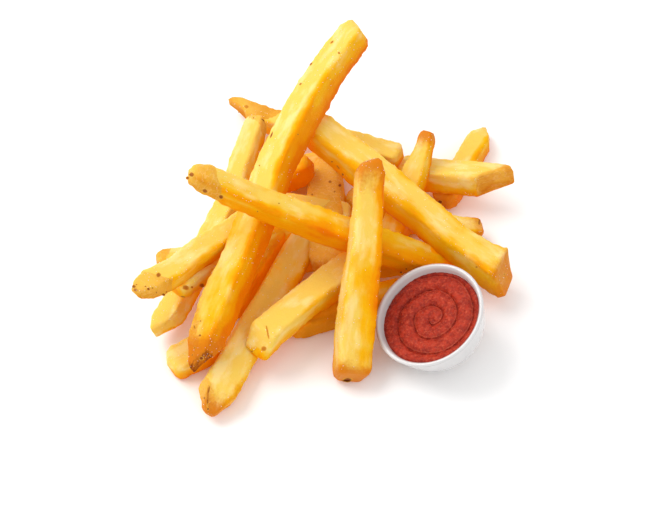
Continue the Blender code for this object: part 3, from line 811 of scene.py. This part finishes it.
@dataclass
class FryShape:
    """One fry as a fine uneven mesh, with what its finish needs at each point.

    The rates are noise waves per metre. A pair of numbers is a broad and a fine one, or a
    base and what adds to it. Warmth rises on the faces turned away from the light's side: painted shade,
    deeper orange.
    """
    fry: Fry
    sight: Sight
    seed: float
    flat_points: int = 5
    corner_points: int = 5
    seed_shares: tuple[float, float, float] = (0.137, 0.071, 0.233)
    seed_steps: tuple[float, float] = (31.0, 17.0)
    least_rings: int = 12
    ring_gap: float = 0.95 * MM
    corner: float = 0.27
    corner_change: float = 0.30
    corner_least: float = 0.14
    corner_most: float = 0.8
    cap_shares: tuple[float, ...] = (0.90, 0.66, 0.34)
    cap_height: float = 0.35 * MM
    tip_share: float = 0.82
    knee_at: float = 0.3
    knee_low: float = 0.35
    wander_rate: float = 60.0
    wander_gap: float = 7.7
    drift: float = 0.5 * MM
    lump: float = 0.36 * MM
    lump_rates: tuple[float, float] = (105.0, 230.0)
    fine_lump: float = 0.4
    blister: float = 0.22 * MM
    blister_rate: float = 520.0
    face_blister: float = 0.6
    edge_blister: float = 1.4
    cap_lump: float = 0.3
    shrink: float = 0.16 * MM
    knife_wave: float = 0.035
    slant_reach: float = 15.0 * MM
    slope_reach: float = 7.0 * MM
    skin_ragged: float = 1.2
    skin_rate: float = 260.0
    skin_border: float = 0.7 * MM
    toast_gain: float = 1.25
    toast_reach: tuple[float, float] = (3.0, 6.0)
    toast_rate: float = 75.0
    toast_patch: tuple[float, float] = (0.12, 0.5)
    edge_toast: tuple[float, float] = (0.05, 0.24)
    edge_range: tuple[float, float] = (1.10, 1.32)
    edge_warmth: float = 0.34
    # Painted shade: these turn faces deeper orange the more they turn away from the light's side; lit_up and
    # lit_left aim the lit side, and lean paints shade away from it.
    shade_warmth: float = 0.78
    shade_middle: float = 0.52
    lit_up: float = 0.5
    lit_left: float = 0.85
    paleness: float = 0.12
    cap_paleness: float = 0.25
    painted_light_side: Vector = field(default_factory=lambda: Vector((-0.42, 0.22, 0.88)))

    def __post_init__(self) -> None:
        """Work out the fry's own axes."""
        fry = self.fry
        self.start = self.sight.place(fry.head.across, fry.head.down, fry.head.height * MM)
        self.finish = self.sight.place(fry.tail.across, fry.tail.down, fry.tail.height * MM)
        self.length = (self.finish - self.start).length
        self.along = (self.finish - self.start).normalized()
        upper = (Vector((0.0, 0.0, 1.0)) - self.along * self.along.z).normalized()
        self.upper = Matrix.Rotation(math.radians(fry.roll), 3, self.along) @ upper
        self.side = self.upper.cross(self.along).normalized()
        self.left = self.sight.towards_eye.cross(self.along).normalized()
        # lit: the side towards the light in the picture, up and left; lean paints shade on the side away from
        # it.
        lit = self.sight.up * self.lit_up - self.sight.right * self.lit_left
        self.lit = (lit - self.along * lit.dot(self.along)).normalized()
        self.offset = Vector([self.seed * share for share in self.seed_shares])

    def way(self, station: float) -> tuple[float, float]:
        """How far aside the fry lies and its size, on a smooth curve through its ways.

        Args:
            station: the share of its length, from the head.

        Returns:
            The distance aside in millimetres and the size.
        """
        ways = self.fry.ways
        after = next((index for index in range(1, len(ways)) if ways[index].at >= station), len(ways) - 1)
        first, last = ways[after - 1], ways[after]
        span = last.at - first.at
        share = (station - first.at) / span
        found = []
        for key in ("aside", "size"):
            leans = []
            for index in (after - 1, after):
                back, ahead = ways[max(index - 1, 0)], ways[min(index + 1, len(ways) - 1)]
                leans.append((getattr(ahead, key) - getattr(back, key)) / (ahead.at - back.at) * span)
            rise = getattr(last, key) - getattr(first, key)
            bend = share * (1 - share) * ((leans[0] - rise) * (1 - share) - (leans[1] - rise) * share)
            found.append(getattr(first, key) + rise * share + bend)
        return found[0], found[1]

    def fullness(self, reach: float) -> float:
        """How full the section is at a distance from the head, in metres.

        Args:
            reach: the distance.

        Returns:
            The share of the full section.
        """
        fry = self.fry
        ends = ((reach, fry.head_taper * MM, fry.head_share),
                (self.length - reach, fry.tail_taper * MM, fry.tail_share))
        full = 1.0
        for depth, taper, end_share in ends:
            share = min(max(depth / taper, 0.0), 1.0)
            first, knee = end_share * self.tip_share, self.knee_low + (1 - self.knee_low) * end_share
            if share < self.knee_at:
                part = first + (knee - first) * math.sin(share / self.knee_at * math.pi / 2)
            else:
                part = knee + (1 - knee) * (share - self.knee_at) / (1 - self.knee_at)
            full = min(full, part)
        return full

    def outline(self, radii: Sequence[float]) -> list[tuple[float, float]]:
        """A square of half size 1 with a corner radius for each corner, anticlockwise.

        Args:
            radii: the radius of each corner as a share of half the side.

        Returns:
            The points round the section.
        """
        signs = ((1, -1), (1, 1), (-1, 1), (-1, -1))
        arcs = []
        for turn, ((across, upward), radius) in enumerate(zip(signs, radii)):
            first = math.radians(90 * turn - 90)
            arc = []
            for step in range(self.corner_points):
                angle = first + math.radians(90) * step / (self.corner_points - 1)
                arc.append((across * (1 - radius) + radius * math.cos(angle),
                            upward * (1 - radius) + radius * math.sin(angle)))
            arcs.append(arc)
        ring = []
        for arc, following in zip(arcs, arcs[1:] + arcs[:1]):
            ring.extend(arc)
            for step in range(1, self.flat_points):
                share = step / self.flat_points
                ring.append((arc[-1][0] + (following[0][0] - arc[-1][0]) * share,
                             arc[-1][1] + (following[0][1] - arc[-1][1]) * share))
        return ring

    def skin_amount(self, reach: float, spot: Vector, aside: float) -> float:
        """How much skin a point carries.

        Args:
            reach: the point's distance from the head.
            spot: its place, for the ragged border.
            aside: how far left of the middle it lies, as a share of half the width.

        Returns:
            An amount from 0 to 1.
        """
        fry = self.fry
        if fry.skin is SkinEnd.NONE:
            return 0.0
        if fry.skin is SkinEnd.WHOLE:
            return 1.0
        from_end = reach if fry.skin is SkinEnd.HEAD else self.length - reach
        ragged = self.skin_ragged * noise.noise(spot * self.skin_rate)
        limit = (fry.skin_length + fry.skin_lean * aside + ragged) * MM
        return 1 - smooth(limit - self.skin_border, limit + self.skin_border, from_end)

    def toast_amount(self, reach: float, edge: float, spot: Vector) -> float:
        """How browned a point is.

        Args:
            reach: the point's distance from the head.
            edge: 1 on a corner of the section, 0 on a face.
            spot: its place.

        Returns:
            An amount from 0 to about 1.4.
        """
        fry = self.fry
        found = 0.0
        least, more = self.toast_reach
        for depth, amount in ((reach, fry.head_toast), (self.length - reach, fry.tail_toast)):
            if amount > 0:
                fade = math.exp(-depth / ((least + more * amount) * MM))
                found = max(found, amount * self.toast_gain * fade)
        patch = smooth(*self.toast_patch, noise.noise(spot * self.toast_rate))
        return found + edge * (self.edge_toast[0] + self.edge_toast[1] * patch)

    def profile(self) -> list[tuple[float, float]]:
        """List the rings: each one's distance from the head, and its share, below 1 on the end caps."""
        rings = max(self.least_rings, round(self.length / self.ring_gap))
        caps = [(0.0, share) for share in reversed(self.cap_shares)]
        length = [(self.length * ring / (rings - 1), 1.0) for ring in range(rings)]
        return caps + length + [(self.length, share) for share in self.cap_shares]

    def cut(self, reach: float) -> tuple[float, float]:
        """How far the ends' slants and slopes carry a ring along.

        Args:
            reach: the ring's distance from the head.

        Returns:
            The metres along at its side, and at its upper face.
        """
        fry = self.fry
        to_tail = self.length - reach
        head_lean = max(0.0, 1 - reach / self.slant_reach) * fry.head_slant
        tail_lean = max(0.0, 1 - to_tail / self.slant_reach) * fry.tail_slant
        head_cut = max(0.0, 1 - reach / self.slope_reach) * fry.head_slope
        tail_cut = max(0.0, 1 - to_tail / self.slope_reach) * fry.tail_slope
        return (tail_lean - head_lean) * MM, (head_cut - tail_cut) * MM

    def uneven(self, base: Vector, out: Vector, edge: float, cap: float) -> Vector:
        """Lump and blister a point of the crust.

        Args:
            base: the point on the plain fry.
            out: the direction away from the fry.
            edge: 1 on a corner of the section, 0 on a face.
            cap: the share of its ring.

        Returns:
            The point, not below the table.
        """
        spot = base + self.offset
        lumps = [noise.noise(spot * rate) * self.lump for rate in self.lump_rates]
        lump = lumps[0] + lumps[1] * self.fine_lump
        blister = noise.noise(spot * self.blister_rate) * self.blister
        blister *= self.face_blister + self.edge_blister * edge
        calm = self.cap_lump + (1 - self.cap_lump) * cap
        moved = base + out * ((lump + blister) * calm - self.shrink)
        moved.z = max(moved.z, TABLE_GAP)
        return moved

    def build(self, into: Mesh) -> None:
        """Add the fry to a mesh.

        Args:
            into: the mesh that it joins.
        """
        fry = self.fry
        points: list[Vector] = []
        numbers: dict[str, list[float]] = {"toast": [], "skin": [], "tan": [], "warmth_and_painted_shade": []}
        places: list[Vector] = []
        profile = self.profile()
        for reach, cap in profile:
            station = reach / self.length
            lanes = [Vector((reach * self.wander_rate, lane * self.wander_gap, 0.0)) for lane in range(8)]
            wander = [noise.noise(self.offset + lane) for lane in lanes]
            radii = [min(max(self.corner + self.corner_change * item, self.corner_least), self.corner_most)
                     for item in wander[:4]]
            aside, size = self.way(station)
            full = self.fullness(reach) * size
            wide = fry.width * MM / 2 * full * (1 + self.knife_wave * wander[4] * 2)
            deep = fry.depth * MM / 2 * full * (1 + self.knife_wave * wander[5] * 2)
            middle = self.start.lerp(self.finish, station) + self.left * (aside * MM)
            middle = middle + self.side * (self.drift * wander[6]) + self.upper * (self.drift * wander[7])
            dome = self.cap_height * (1 - cap)
            middle = middle + self.along * (dome if station > 0.5 else -dome)
            slant, slope = self.cut(reach)
            for across, upward in self.outline(radii):
                lean = self.along * (slant * across + slope * upward) * cap
                base = middle + lean + self.side * (across * wide * cap) + self.upper * (upward * deep * cap)
                spot = base + self.offset
                out = (self.side * across + self.upper * upward).normalized()
                edge = smooth(*self.edge_range, math.hypot(across, upward)) * cap
                base = self.uneven(base, out, edge, cap)
                points.append(base)
                # Painted shade: warmth rises on faces turned away from the light, and by lean on the side
                # away from the lit side; tone and tail_tone carry painted shade and light as well.
                shade = self.shade_warmth * (self.shade_middle - out.dot(self.painted_light_side))
                shown = (base - middle).dot(self.lit) / wide
                tone = fry.tone + fry.tail_tone * station - fry.lean * shown
                pale = self.paleness + self.cap_paleness * (1 - cap)
                numbers["warmth_and_painted_shade"].append(tone + shade + self.edge_warmth * edge - pale)
                numbers["tan"].append(fry.skin_tan)
                numbers["toast"].append(self.toast_amount(reach, edge, spot))
                numbers["skin"].append(self.skin_amount(reach, spot, (base - middle).dot(self.left) / wide))
                places.append(Vector((
                    reach / MM + self.seed * self.seed_steps[0], across * wide * cap / MM,
                    upward * deep * cap / MM + self.seed * self.seed_steps[1])))
        around = len(points) // len(profile)
        faces = grid_faces(len(profile), around)
        faces.append(tuple(reversed(range(around))))
        faces.append(tuple((len(profile) - 1) * around + lane for lane in range(around)))
        into.add(points, faces, numbers, {"place": places})


@dataclass
class Heap:
    """The fries at true size, joined by kind, over a low mound, with their eyes and their salt."""
    sight: Sight
    seed: int = 7
    core_at: tuple[float, float] = (300.0, 236.0)
    core_radii: Vector = field(default_factory=lambda: Vector((22 * MM, 18 * MM, 12 * MM)))
    core_sides: int = 48
    core_rings: int = 14
    core_lump: float = 0.6 * MM
    core_rate: float = 160.0
    crevice_leans: tuple[float, ...] = (0.3, 0.7, 1.3)
    crevice_turns: tuple[float, ...] = (0.3, 1.55, 2.8, 4.1, 5.3)
    crevice_rise: float = 0.75
    crevice_start: float = 0.9 * MM
    crevice_reach: float = 30 * MM
    crevice_step: int = 3
    eye_sides: int = 18
    eye_rings: int = 4
    eye_ragged: float = 0.16
    eye_rate: float = 1.7
    eye_dome: float = 0.12 * MM
    eye_lift: float = 3 * MM
    eye_drop: float = 5 * MM
    eye_aim: float = 30 * MM
    salt_grains: int = 1500
    salt_sizes: tuple[float, ...] = (0.05, 0.06, 0.08, 0.10)
    salt_stretch: tuple[float, float] = (0.7, 1.3)
    salt_lift: float = 0.06 * MM
    salt_faces: int = 200
    salt_least: float = 0.35
    salt_rate: float = 70.0
    salt_rise: float = 0.15
    salt_buried: float = 0.7
    no_normal: float = 1e-12
    meshes: dict[Kind, Mesh] = field(default_factory=lambda: {kind: Mesh() for kind in Kind})

    def build(self, potato: bpy.types.Material, eye: bpy.types.Material,
              salt: bpy.types.Material) -> list[bpy.types.Object]:
        """Make every fry, eye and grain.

        Args:
            potato: the potato's material.
            eye: the material of the skin's eyes.
            salt: the salt's material.

        Returns:
            The joined pieces.
        """
        draw = random.Random(self.seed)
        for fry in FRIES.values():
            FryShape(fry, self.sight, draw.uniform(1.0, 9.0)).build(self.meshes[fry.kind])
        self.add_core(self.meshes[Kind.LOW])
        tree = self.cover()
        self.shade_crevices(tree)
        pieces = [mesh.build(kind.value, potato) for kind, mesh in self.meshes.items()]
        pieces.append(self.spots(tree).build("skin_eyes", eye))
        pieces.append(self.salt(draw).build("salt_grains", salt))
        return pieces

    def add_core(self, into: Mesh) -> None:
        """Add the low mound that carries the heap's middle.

        Args:
            into: the mesh that it joins.
        """
        seat = self.sight.place(*self.core_at, 0.0)
        points, places = [], []
        for level in range(self.core_rings + 1):
            rise = math.radians(90) * level / self.core_rings
            for step in range(self.core_sides):
                turn = 2 * math.pi * step / self.core_sides
                wide = math.cos(rise)
                out = Vector((math.cos(turn) * wide, math.sin(turn) * wide, math.sin(rise)))
                spot = Vector([part * radius for part, radius in zip(out, self.core_radii)])
                points.append(seat + spot + out * (noise.noise(spot * self.core_rate) * self.core_lump))
                points[-1].z = max(points[-1].z, TABLE_GAP)
                places.append(spot / MM)
        faces = grid_faces(self.core_rings + 1, self.core_sides)
        faces.append(tuple(reversed(range(self.core_sides))))
        numbers = {name: [0.0] * len(points) for name in ("toast", "skin", "tan")}
        # The hidden mound is given a deep orange warmth: painted shade where it shows between the fries
        into.add(points, faces, numbers | {"warmth_and_painted_shade": [1.0] * len(points)}, {"place": places})

    def cover(self) -> BVHTree:
        """Join all fries' faces into one tree for casting rays."""
        points: list[Vector] = []
        faces: list[Face] = []
        for mesh in self.meshes.values():
            base = len(points)
            points.extend(mesh.points)
            faces.extend(tuple(base + index for index in face) for face in mesh.faces)
        return BVHTree.FromPolygons(points, faces)

    def shade_crevices(self, tree: BVHTree) -> None:
        """Note at each point how deep it lies between its neighbours, for the painted shade and painted glow
        of crevices.

        Args:
            tree: every fry's faces.
        """
        ways = [Vector((math.cos(turn) * lean, math.sin(turn) * lean, self.crevice_rise)).normalized()
                for lean in self.crevice_leans for turn in self.crevice_turns]
        for mesh in self.meshes.values():
            found = []
            for start in mesh.points[::self.crevice_step]:
                hits = (tree.ray_cast(start + way * self.crevice_start, way, self.crevice_reach)
                        for way in ways)
                shut = sum(hit[0] is not None for hit in hits)
                found.extend([shut / len(ways)] * self.crevice_step)
            mesh.numbers["crevice_shade"] = found[:len(mesh.points)]

    def spots(self, tree: BVHTree) -> Mesh:
        """Lay each eye and speck on the face that shows at its point of the photograph.

        Args:
            tree: every fry's faces.

        Returns:
            The mesh of all of them.
        """
        made = Mesh()
        for spot in (item for items in SPOTS.values() for item in items):
            through = self.sight.place(spot.across, spot.down, self.eye_aim)
            ray = (through - self.sight.eye).normalized()
            hit = tree.ray_cast(self.sight.eye, ray)[0]
            if hit is None:
                continue
            turn = math.radians(spot.turn)
            long_way = self.sight.right * math.cos(turn) + self.sight.up * math.sin(turn)
            wide_way = self.sight.up * math.cos(turn) - self.sight.right * math.sin(turn)
            points, rims = [], []
            for level in range(self.eye_rings + 1):
                share = level / self.eye_rings
                for step in range(self.eye_sides):
                    angle = 2 * math.pi * step / self.eye_sides
                    along, across = math.cos(angle), math.sin(angle)
                    at = Vector((along, across, spot.across)) * self.eye_rate
                    ragged = 1 + self.eye_ragged * noise.noise(at)
                    aim = hit + (long_way * (along * spot.half_length)
                                 + wide_way * (across * spot.half_width)) * (share * ragged * MM)
                    below = tree.ray_cast(aim - ray * self.eye_lift, ray, self.eye_drop)[0]
                    points.append((below or aim) - ray * (self.eye_dome * (1 - share ** 2)))
                    rims.append(share)
            faces = grid_faces(self.eye_rings + 1, self.eye_sides)
            made.add(points, faces, {"rim": rims, "dark": [spot.dark] * len(points)})
        return made

    def salt(self, draw: random.Random) -> Mesh:
        """Scatter small salt grains over the faces that look up.

        Args:
            draw: the seeded draw.

        Returns:
            The mesh of all grains.
        """
        made = Mesh()
        kinds = [kind for kind in Kind for _ in range(len(self.meshes[kind].faces) // self.salt_faces)]
        corners = [Vector((x, y, z)) for x in (-1, 1) for y in (-1, 1) for z in (-1, 1)]
        cube = [(0, 1, 3, 2), (4, 6, 7, 5), (0, 4, 5, 1), (2, 3, 7, 6), (0, 2, 6, 4), (1, 5, 7, 3)]
        left = self.salt_grains
        while left > 0:
            mesh = self.meshes[draw.choice(kinds)]
            face = draw.choice(mesh.faces)
            first, second, third = (mesh.points[face[index]] for index in (0, 1, 2))
            normal = (second - first).cross(third - first)
            if len(face) > 4 or normal.length < self.no_normal:
                continue
            normal.normalize()
            cluster = self.salt_least + noise.noise(first * self.salt_rate)
            crevice_shade = mesh.numbers["crevice_shade"][face[0]] > self.salt_buried
            if normal.z < self.salt_rise or draw.random() > cluster or crevice_shade:
                continue
            middle = first.lerp(third, draw.random()) + normal * self.salt_lift
            size = draw.choice(self.salt_sizes) * MM
            turn = Matrix.Rotation(draw.uniform(0, math.pi), 3, "Z")
            turn = turn @ Matrix.Rotation(draw.uniform(0, 1), 3, "X")
            stretch = Matrix.Diagonal(Vector([size * draw.uniform(*self.salt_stretch) for _ in range(3)]))
            made.add([middle + turn @ stretch @ corner for corner in corners], cube)
            left -= 1
        return made


@dataclass
class DipPot:
    """The white pot with its rounded rim, and the dip's spiral swirl."""
    sight: Sight
    rim_radius: float = 22.0 * MM
    foot_radius: float = 13.5 * MM
    height: float = 17.0 * MM
    wall: float = 1.7 * MM
    floor: float = 2.4 * MM
    rim_centre: tuple[float, float] = (428.4, 314.0)
    axis: Vector = field(default_factory=lambda: Vector((-0.387, -0.081, 0.919)).normalized())
    base_lift: float = 5.75 * MM
    outer_curve: float = 0.42
    inner_curve: float = 0.36
    axis_radius: float = 0.01 * MM
    sides: int = 144
    wall_rings: int = 28
    foot_crowding: float = 1.8
    rim_steps: int = 12
    surface: float = 14.0 * MM
    gap: float = 0.06 * MM
    rings: int = 110
    dip_sides: int = 240
    dip_wall_rings: int = 8
    swirl_turns: float = 3.05
    swirl_height: float = 1.7 * MM
    swirl_start: float = 0.35
    swirl_wobble: float = 0.10
    wobble_rate: float = 1.3
    edge_from: float = 0.9
    sink_from: float = 0.96
    wave_middle: float = 0.75
    lip_at: float = 0.93
    lip_width: float = 0.035
    lip_height: float = 0.10 * MM
    centre_share: float = 0.10
    edge_calm: float = 0.6
    edge_sink: float = 0.25 * MM
    pulp: tuple[tuple[float, float], ...] = ((620.0, 0.26 * MM), (1400.0, 0.14 * MM))
    plain_crest: float = 0.3

    def __post_init__(self) -> None:
        """Work out where the pot stands."""
        lift = self.base_lift + self.height * self.axis.z
        foot = self.sight.place(*self.rim_centre, lift) - self.axis * self.height
        turn = Vector((0.0, 0.0, 1.0)).rotation_difference(self.axis).to_matrix().to_4x4()
        self.home = Matrix.Translation(foot) @ turn

    def outer_radius(self, height: float) -> float:
        """The wall's outer radius at a height above the foot."""
        share = min(max(height / self.height, 0.0), 1.0)
        return self.foot_radius + (self.rim_radius - self.foot_radius) * share ** self.outer_curve

    def inner_radius(self, height: float) -> float:
        """The wall's inner radius at a height above the foot."""
        share = min(max((height - self.floor) / (self.height - self.floor), 0.0), 1.0)
        foot = self.foot_radius - self.wall
        return foot + (self.rim_radius - self.wall - foot) * share ** self.inner_curve

    def turned(self, profile: Sequence[tuple[float, float]], sides: int) -> tuple[list[Vector], list[Face]]:
        """Turn a profile about the pot's axis.

        Args:
            profile: radius and height, from one place on the axis to another.
            sides: steps round.

        Returns:
            The points, in the pot's own frame, and the faces.
        """
        points = [Vector((radius * math.cos(2 * math.pi * side / sides),
                          radius * math.sin(2 * math.pi * side / sides), height))
                  for radius, height in profile for side in range(sides)]
        return points, grid_faces(len(profile), sides)

    def build_pot(self, finish: bpy.types.Material) -> bpy.types.Object:
        """Make the pot, smooth, with a soft rim and a foot edge.

        Args:
            finish: the glaze.

        Returns:
            The pot.
        """
        roll = self.wall / 2
        top = self.height - roll
        levels = [(step / self.wall_rings) ** self.foot_crowding for step in range(self.wall_rings + 1)]
        profile = [(self.axis_radius, self.floor)]
        for level in levels:
            height = self.floor + (top - self.floor) * level
            profile.append((self.inner_radius(height), height))
        middle = self.rim_radius - roll
        for step in range(1, self.rim_steps):
            turn = math.pi * step / self.rim_steps
            profile.append((middle - roll * math.cos(turn), top + roll * math.sin(turn)))
        profile += [(self.outer_radius(top * level), top * level) for level in reversed(levels)]
        profile.append((self.axis_radius, 0.0))
        points, faces = self.turned(profile, self.sides)
        made = Mesh()
        made.add([self.home @ point for point in points], [tuple(reversed(face)) for face in faces])
        return made.build("glazed_pot", finish)

    def ridge(self, radius: float, angle: float, reach: float) -> tuple[float, float]:
        """The swirl's relief at a place on the dip.

        Args:
            radius: the distance from its middle.
            angle: the direction from its middle.
            reach: the dip's radius.

        Returns:
            The height in metres, and the crest's share: 1 on a ridge, up to 2 on its fine lip.
        """
        share = radius / reach
        wobble = noise.noise(Vector((math.cos(angle), math.sin(angle), share * 2)) * self.wobble_rate)
        phase = self.swirl_turns * radius / reach - angle / (2 * math.pi) + self.swirl_start
        phase += self.swirl_wobble * wobble
        wave = abs(math.sin(math.pi * phase)) ** 0.5
        lip = math.exp(-((phase % 1.0 - self.lip_at) / self.lip_width) ** 2)
        calm = self.edge_calm * smooth(self.edge_from, 1, share)
        fade = min(1.0, radius / (self.centre_share * reach)) * (1 - calm)
        return self.swirl_height * (wave - self.wave_middle) * fade + lip * self.lip_height, wave * fade + lip

    def build_dip(self, finish: bpy.types.Material) -> bpy.types.Object:
        """Make the dip with its swirled, pulpy top.

        Args:
            finish: the dip's material.

        Returns:
            The dip.
        """
        reach = self.inner_radius(self.surface) - self.gap
        low = self.floor + self.gap
        width = reach - self.axis_radius
        profile = [(self.axis_radius + width * ring / self.rings, self.surface)
                   for ring in range(self.rings + 1)]
        for step in range(1, self.dip_wall_rings + 1):
            height = self.surface + (low - self.surface) * step / self.dip_wall_rings
            profile.append((self.inner_radius(height) - self.gap, height))
        profile.append((self.axis_radius, low))
        points, faces = self.turned(profile, self.dip_sides)
        top = (self.rings + 1) * self.dip_sides
        # crest drives the dip's painted light and shade: bright ridges, deep grooves and a painted highlight
        # on the lip
        crests = [self.plain_crest] * len(points)
        for index, point in enumerate(points[:top]):
            radius = math.hypot(point.x, point.y)
            rise, crests[index] = self.ridge(radius, math.atan2(point.y, point.x), reach)
            pulp = sum(noise.noise(point * rate) * depth for rate, depth in self.pulp)
            point.z += rise + pulp - self.edge_sink * smooth(self.sink_from, 1, radius / reach)
        made = Mesh()
        made.add([self.home @ point for point in points], faces, {"crest": crests})
        return made.build("swirled_dip", finish)


@dataclass(frozen=True)
class Lamp:
    """A square soft light that faces the heap: its name, its place and side in metres, its watts."""
    name: str
    place: tuple[float, float, float]
    side: float
    watts: float

    def build(self) -> None:
        """Hang the lamp."""
        data = bpy.data.lights.new(self.name, "AREA")
        data.size = self.side
        data.energy = self.watts
        lamp = bpy.data.objects.new(self.name, data)
        lamp.location = self.place
        lamp.rotation_euler = (-Vector(self.place)).to_track_quat("-Z", "Y").to_euler()
        bpy.context.scene.collection.objects.link(lamp)


@dataclass
class Studio:
    """The pale floor and the soft light."""
    floor_half: float = 3.0
    floor_drop: float = 0.05 * MM
    sky: float = 0.90
    sky_colour: Colour = (1.0, 1.0, 1.0, 1.0)
    lamps: tuple[Lamp, ...] = (
        Lamp("key_light", (-0.50, 0.22, 0.75), 0.60, 5.0),
        Lamp("fill_light", (0.5, -0.5, 0.6), 0.6, 0.8))

    def build(self, finish: bpy.types.Material) -> None:
        """Lay the floor and hang the lights.

        Args:
            finish: the floor's material.
        """
        bpy.context.scene.view_settings.view_transform = "Standard"
        ground = Mesh()
        corners = [Vector((x * self.floor_half, y * self.floor_half, -self.floor_drop))
                   for x, y in ((-1, -1), (1, -1), (1, 1), (-1, 1))]
        ground.add(corners, [(0, 1, 2, 3)])
        ground.build("floor", finish)
        world = bpy.data.worlds.new("soft_sky")
        world.use_nodes = True
        background = world.node_tree.nodes["Background"].inputs
        background["Color"].default_value = self.sky_colour
        background["Strength"].default_value = self.sky
        bpy.context.scene.world = world
        for lamp in self.lamps:
            lamp.build()


def hand_over(piece: bpy.types.Object, node: str) -> None:
    """Let a piece ride the heap in a solid's stead.

    Args:
        piece: the piece.
        node: the solid that it replaces.
    """
    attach(piece, "root")
    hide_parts(node)
    LOG.info("%s: %d faces, in place of %s", piece.name, len(piece.data.polygons), node)


def main() -> None:
    """Build the scene piece by piece."""
    logging.basicConfig(level=logging.INFO, format="%(name)s: %(message)s")
    sight = Sight()
    sight.build_camera()
    Studio().build(PaleGround().build())
    heap = Heap(sight).build(FriedPotato().build(), Knot().build(), Salt().build())
    for piece in heap:
        hand_over(piece, "fries")
    pot = DipPot(sight)
    hand_over(pot.build_pot(Glaze().build()), "pot")
    hand_over(pot.build_dip(TomatoDip().build()), "ketchup")


if __name__ == "__main__":
    main()
